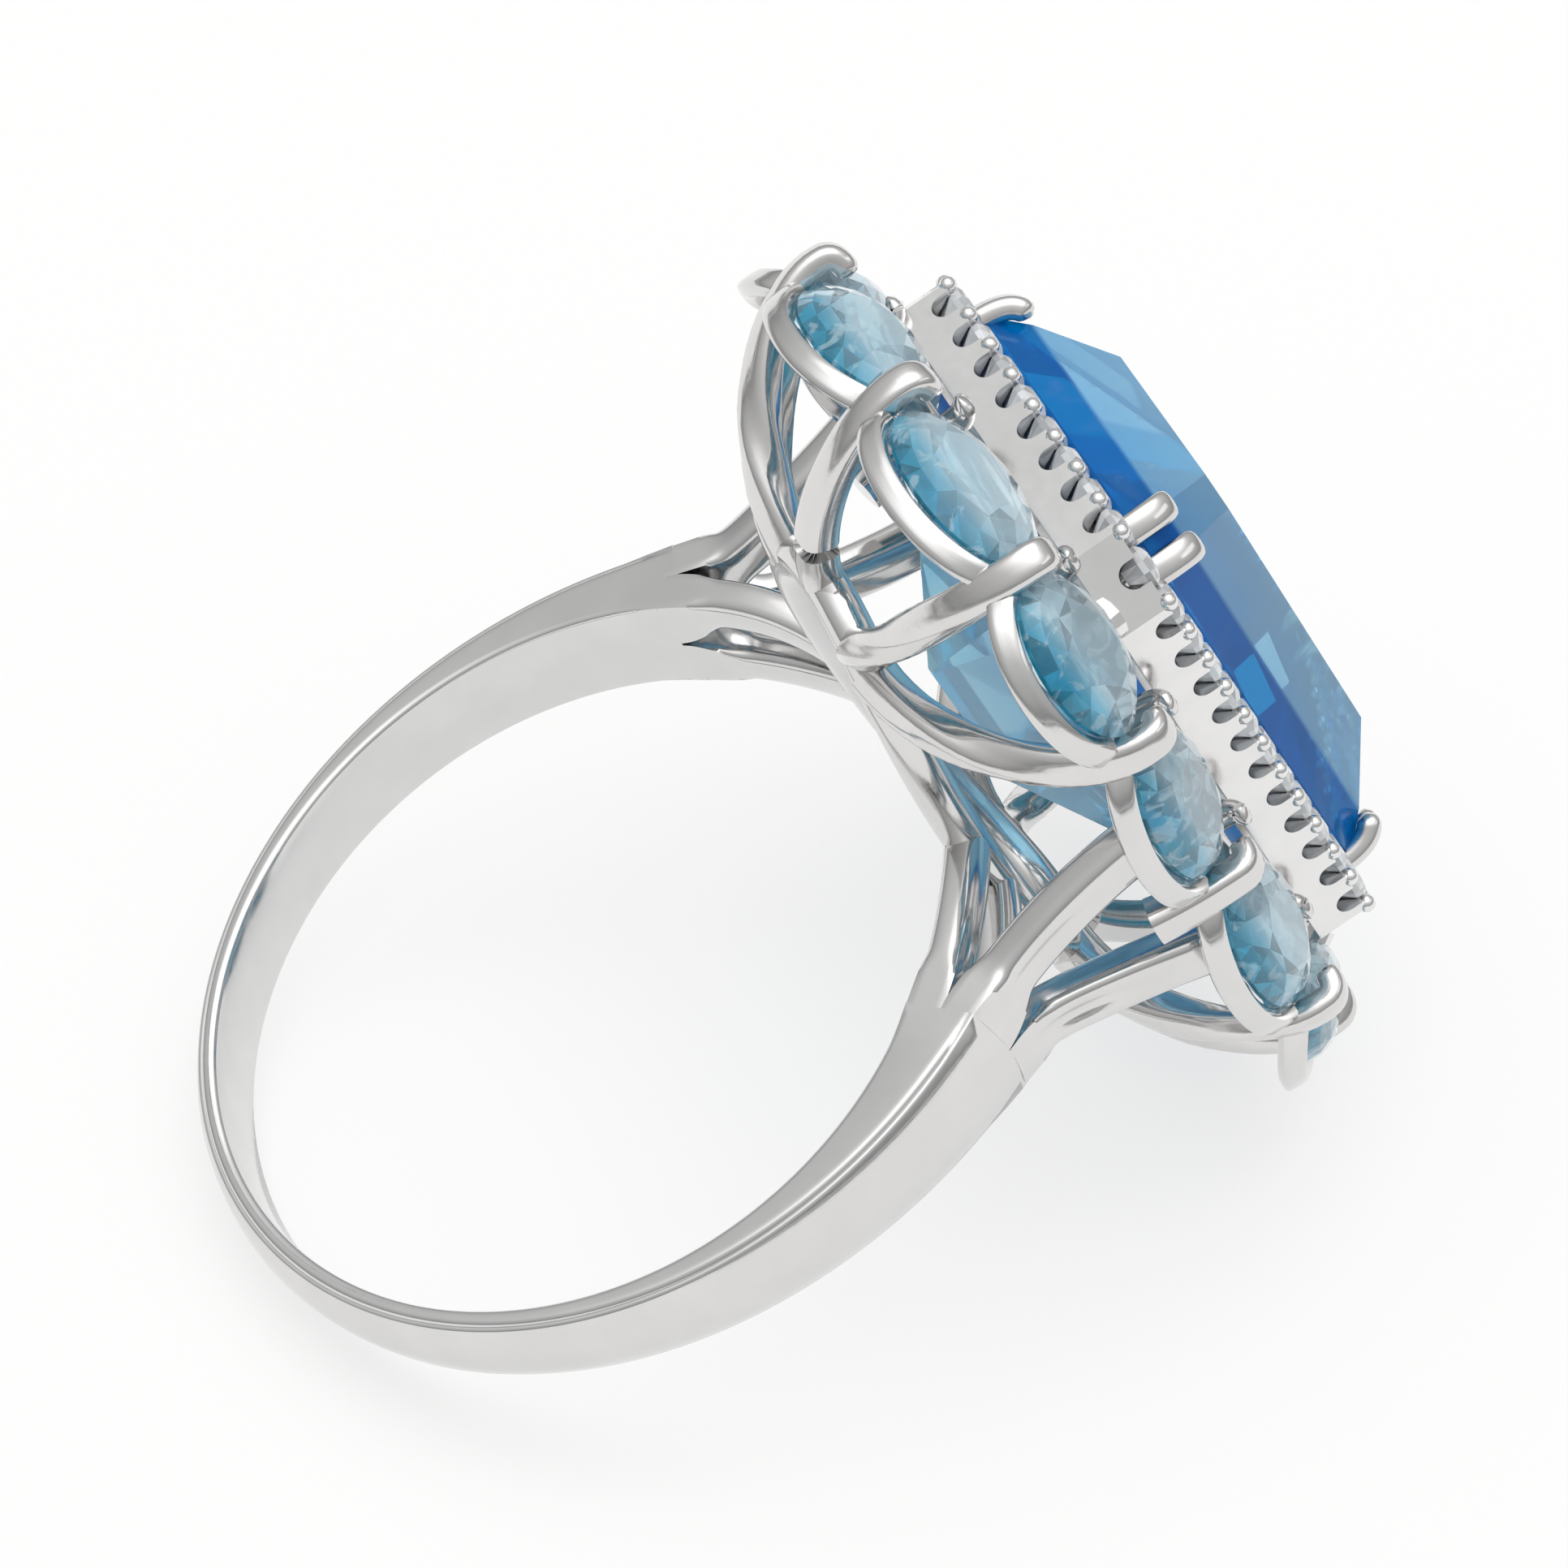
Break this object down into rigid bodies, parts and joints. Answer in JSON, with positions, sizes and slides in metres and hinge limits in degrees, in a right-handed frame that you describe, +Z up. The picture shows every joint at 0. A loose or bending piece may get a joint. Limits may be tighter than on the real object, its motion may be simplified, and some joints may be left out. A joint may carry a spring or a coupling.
{
  "type": "cocktail_ring",
  "caption": "Cluster cocktail ring: large blue step-cut stone in a pave halo, a border of pale blue ovals, an open strut gallery and a split-shoulder white metal shank",
  "frame": {"origin": "centre of the finger hole", "axes": "+Z up through the head, +Y along the finger, +X across the shoulders"},
  "size_m": [0.0194, 0.0212, 0.0263],
  "materials": {
    "white_gold": "polished rhodium-plated white gold, mirror bright, faint polishing marks",
    "claw_gold": "polished wire, rounded tips, a little softer than the shank",
    "halo_gold": "bright-cut white gold with bead grains",
    "pale_blue_stone": "faceted pale sky blue stone, polished",
    "deep_blue_stone": "step-cut vivid blue stone, polished",
    "clear_stone": "colourless faceted stone, polished"
  },
  "bodies": {
    "root": {"shank": "white_gold", "shoulder_inner_1": "white_gold", "shoulder_inner_2": "white_gold", "shoulder_inner_3": "white_gold", "shoulder_inner_4": "white_gold", "shoulder_outer_1": "white_gold", "shoulder_outer_2": "white_gold", "shoulder_outer_3": "white_gold", "shoulder_outer_4": "white_gold", "gallery_rail": "white_gold", "outer_seat_rail": "white_gold", "inner_seat_rail": "white_gold", "inner_claws": "white_gold", "claw_01": "claw_gold", "claw_02": "claw_gold", "claw_03": "claw_gold", "claw_04": "claw_gold", "claw_05": "claw_gold", "claw_06": "claw_gold", "claw_07": "claw_gold", "claw_08": "claw_gold", "claw_09": "claw_gold", "claw_10": "claw_gold", "claw_11": "claw_gold", "claw_12": "claw_gold", "oval_01": "pale_blue_stone", "oval_02": "pale_blue_stone", "oval_03": "pale_blue_stone", "oval_04": "pale_blue_stone", "oval_05": "pale_blue_stone", "oval_06": "pale_blue_stone", "oval_07": "pale_blue_stone", "oval_08": "pale_blue_stone", "oval_09": "pale_blue_stone", "oval_10": "pale_blue_stone", "oval_11": "pale_blue_stone", "oval_12": "pale_blue_stone", "halo_frame": "halo_gold", "halo_beads": "halo_gold", "halo_stones": "clear_stone", "halo_posts": "white_gold", "centre_seat": "white_gold", "centre_claw_1": "claw_gold", "centre_claw_2": "claw_gold", "centre_claw_3": "claw_gold", "centre_claw_4": "claw_gold", "centre_claw_5": "claw_gold", "centre_claw_6": "claw_gold", "centre_claw_7": "claw_gold", "centre_claw_8": "claw_gold", "centre_stone": "deep_blue_stone"}
  },
  "joints": []
}
